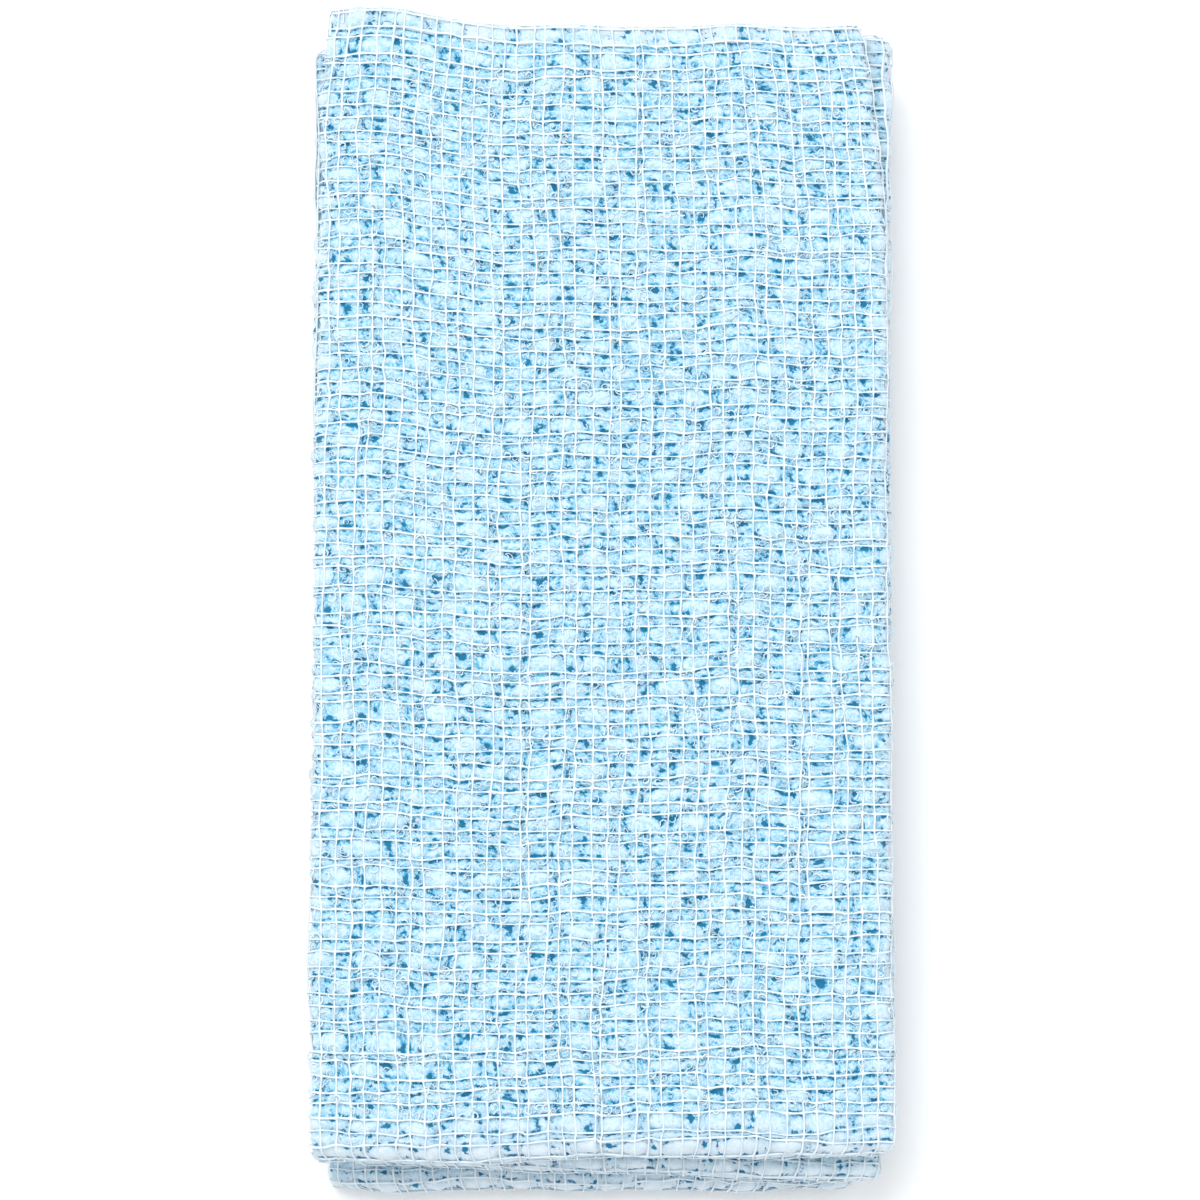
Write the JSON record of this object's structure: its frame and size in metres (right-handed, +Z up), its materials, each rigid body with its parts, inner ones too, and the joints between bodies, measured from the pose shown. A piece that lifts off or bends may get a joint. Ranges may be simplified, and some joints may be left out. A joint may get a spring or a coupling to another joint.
{
  "type": "washing towel",
  "caption": "Folded open mesh washing towel: a long strip folded in three across its width, then to and fro into a flat oblong pack that opens at its creases.",
  "frame": {"origin": "bottom centre of the folded pack, on the surface that it lies on", "axes": "+X across the pack to the right, +Y along the pack towards the free end of the top panel, +Z up out of the top face"},
  "size_m": [0.101, 0.2048, 0.0213],
  "materials": {
    "blue_texture_yarn": "open mesh weave of puffy pale blue nylon texture yarn, matt",
    "white_ground_yarn": "fine white nylon ground threads, soft sheen"
  },
  "bodies": {
    "panel_6": {"panel_6_face": "blue_texture_yarn", "panel_6_inner_flap": "blue_texture_yarn", "panel_6_outer_flap": "blue_texture_yarn", "crease_5_6_lower_half": "white_ground_yarn", "lower_end_hem": "white_ground_yarn"},
    "panel_5": {"panel_5_face": "blue_texture_yarn", "panel_5_inner_flap": "blue_texture_yarn", "panel_5_outer_flap": "blue_texture_yarn", "crease_5_6_upper_half": "white_ground_yarn", "crease_4_5_lower_half": "white_ground_yarn"},
    "panel_4": {"panel_4_face": "blue_texture_yarn", "panel_4_inner_flap": "blue_texture_yarn", "panel_4_outer_flap": "blue_texture_yarn", "crease_4_5_upper_half": "white_ground_yarn", "crease_3_4_lower_half": "white_ground_yarn"},
    "panel_3": {"panel_3_face": "blue_texture_yarn", "panel_3_inner_flap": "blue_texture_yarn", "panel_3_outer_flap": "blue_texture_yarn", "crease_3_4_upper_half": "white_ground_yarn", "crease_2_3_lower_half": "white_ground_yarn"},
    "panel_2": {"panel_2_face": "blue_texture_yarn", "panel_2_inner_flap": "blue_texture_yarn", "panel_2_outer_flap": "blue_texture_yarn", "crease_2_3_upper_half": "white_ground_yarn", "crease_1_2_lower_half": "white_ground_yarn"},
    "panel_1": {"panel_1_face": "blue_texture_yarn", "panel_1_inner_flap": "blue_texture_yarn", "panel_1_outer_flap": "blue_texture_yarn", "crease_1_2_upper_half": "white_ground_yarn", "top_end_hem": "white_ground_yarn"}
  },
  "joints": [
    {"name": "unfold_5_6", "type": "hinge", "parent": "panel_6", "child": "panel_5", "pos_m": [0, -0.10255, 0.00345], "axis": [1, 0, 0], "range_deg": [0, 180]},
    {"name": "unfold_4_5", "type": "hinge", "parent": "panel_5", "child": "panel_4", "pos_m": [0, 0.09305, 0.00705], "axis": [-1, 0, 0], "range_deg": [0, 180]},
    {"name": "unfold_3_4", "type": "hinge", "parent": "panel_4", "child": "panel_3", "pos_m": [0, -0.10075, 0.01065], "axis": [1, 0, 0], "range_deg": [0, 180]},
    {"name": "unfold_2_3", "type": "hinge", "parent": "panel_3", "child": "panel_2", "pos_m": [0, 0.09805, 0.01425], "axis": [-1, 0, 0], "range_deg": [0, 180]},
    {"name": "unfold_1_2", "type": "hinge", "parent": "panel_2", "child": "panel_1", "pos_m": [0, -0.09875, 0.01785], "axis": [1, 0, 0], "range_deg": [0, 180]}
  ]
}
